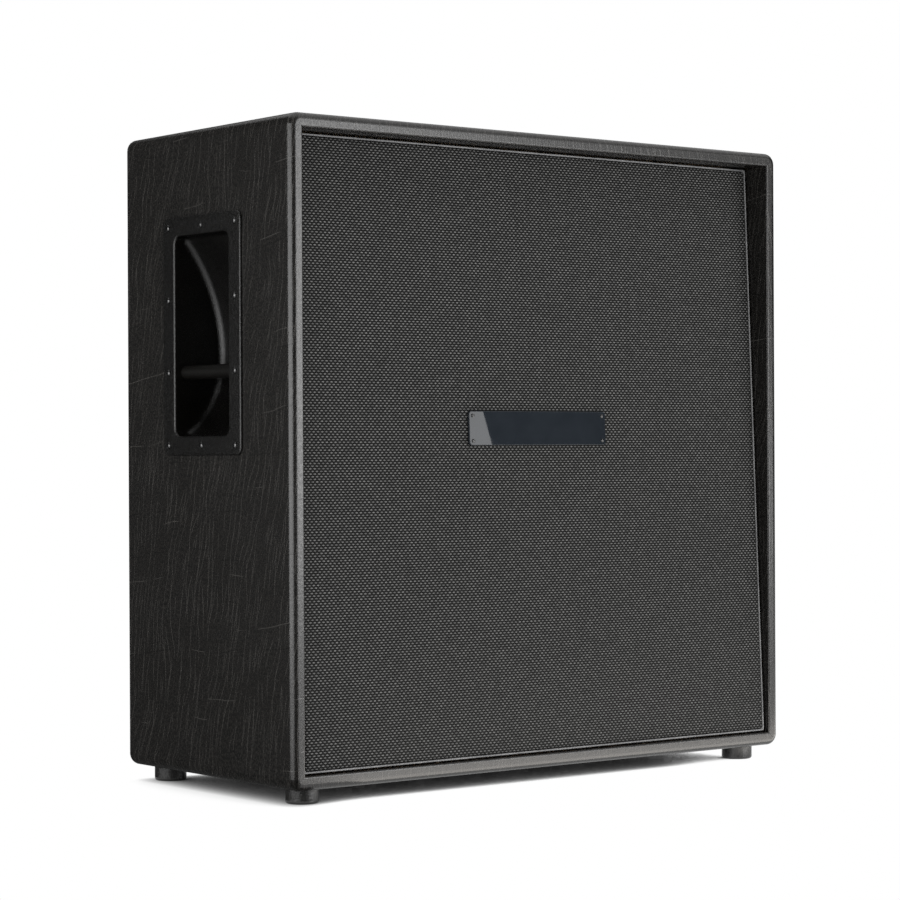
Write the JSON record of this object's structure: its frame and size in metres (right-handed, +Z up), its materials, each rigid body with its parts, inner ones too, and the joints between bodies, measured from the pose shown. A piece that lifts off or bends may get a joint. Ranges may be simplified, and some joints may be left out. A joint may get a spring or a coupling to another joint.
{
  "type": "guitar speaker cabinet",
  "caption": "tall covered plywood speaker box with a leaning woven grille, recessed bar handles in its sides, rubber feet and sockets behind",
  "frame": {"origin": "on the floor under the middle of the cabinet", "axes": "+Z up, -Y out of the grille, +X to the right of someone who faces the grille"},
  "size_m": [0.7704, 0.356, 0.78],
  "materials": {
    "covering": "embossed black vinyl, satin",
    "plywood": "bare birch plywood",
    "grille_weave": "woven black and grey grille cloth",
    "piping": "pale grey vinyl piping",
    "badge": "plain glossy black plate",
    "handle_moulding": "moulded black, fine texture",
    "handle_bar": "black coated steel bar",
    "black_screws": "black oxide",
    "rubber": "moulded black rubber",
    "zinc_hardware": "zinc plated",
    "dish_moulding": "moulded black",
    "nickel": "nickel plated",
    "lead_sheath": "black flexible sheath",
    "basket_paint": "dark grey enamel",
    "cone_paper": "dark pressed paper",
    "suspension_cloth": "treated cotton",
    "coil_copper": "enamelled copper on its former",
    "gasket_board": "pressed board",
    "magnet_ferrite": "sintered ferrite",
    "pole_steel": "plated steel"
  },
  "bodies": {
    "cabinet": {"badge_plate": "badge", "badge_screws": "black_screws", "baffle_board": "plywood", "baffle_cleats": "plywood", "baffle_screws": "zinc_hardware", "basket_lower_left": "basket_paint", "basket_lower_right": "basket_paint", "basket_upper_left": "basket_paint", "basket_upper_right": "basket_paint", "bottom_panel": "plywood", "centre_post": "plywood", "foot_front_left": "rubber", "foot_front_right": "rubber", "foot_rear_left": "rubber", "foot_rear_right": "rubber", "foot_screws": "zinc_hardware", "grille_cloth": "grille_weave", "grille_frame": "plywood", "grille_piping": "piping", "handle_bar_left": "handle_bar", "handle_bar_right": "handle_bar", "handle_cup_left": "handle_moulding", "handle_cup_right": "handle_moulding", "handle_screws": "black_screws", "jack_dish": "dish_moulding", "jack_dish_screws": "black_screws", "jack_nuts": "nickel", "jack_sockets": "dish_moulding", "rear_cleats": "plywood", "rear_covering": "covering", "rear_panel": "plywood", "rear_panel_screws": "black_screws", "shell_covering": "covering", "side_panel_left": "plywood", "side_panel_right": "plywood", "speaker_bolts": "zinc_hardware", "speaker_front_plates": "pole_steel", "speaker_gaskets": "gasket_board", "speaker_leads": "lead_sheath", "speaker_magnets": "magnet_ferrite", "speaker_pole_yokes": "pole_steel", "speaker_tags": "dish_moulding", "speaker_tee_nuts": "zinc_hardware", "suspension_lower_left": "suspension_cloth", "suspension_lower_right": "suspension_cloth", "suspension_upper_left": "suspension_cloth", "suspension_upper_right": "suspension_cloth", "top_panel": "plywood"},
    "driver_upper_left": {"cone_upper_left": "cone_paper", "dust_cap_upper_left": "cone_paper", "voice_coil_upper_left": "coil_copper"},
    "driver_upper_right": {"cone_upper_right": "cone_paper", "dust_cap_upper_right": "cone_paper", "voice_coil_upper_right": "coil_copper"},
    "driver_lower_left": {"cone_lower_left": "cone_paper", "dust_cap_lower_left": "cone_paper", "voice_coil_lower_left": "coil_copper"},
    "driver_lower_right": {"cone_lower_right": "cone_paper", "dust_cap_lower_right": "cone_paper", "voice_coil_lower_right": "coil_copper"}
  },
  "joints": [
    {"name": "cone_travel_upper_left", "type": "slide", "parent": "cabinet", "child": "driver_upper_left", "axis": [0, -0.9991, 0.0422], "range_m": [-0.003, 0.003], "stiffness_N_per_m": 3000, "deforming": ["suspension_upper_left"]},
    {"name": "cone_travel_upper_right", "type": "slide", "parent": "cabinet", "child": "driver_upper_right", "axis": [0, -0.9991, 0.0422], "range_m": [-0.003, 0.003], "stiffness_N_per_m": 3000, "deforming": ["suspension_upper_right"]},
    {"name": "cone_travel_lower_left", "type": "slide", "parent": "cabinet", "child": "driver_lower_left", "axis": [0, -0.9991, 0.0422], "range_m": [-0.003, 0.003], "stiffness_N_per_m": 3000, "deforming": ["suspension_lower_left"]},
    {"name": "cone_travel_lower_right", "type": "slide", "parent": "cabinet", "child": "driver_lower_right", "axis": [0, -0.9991, 0.0422], "range_m": [-0.003, 0.003], "stiffness_N_per_m": 3000, "deforming": ["suspension_lower_right"]}
  ]
}
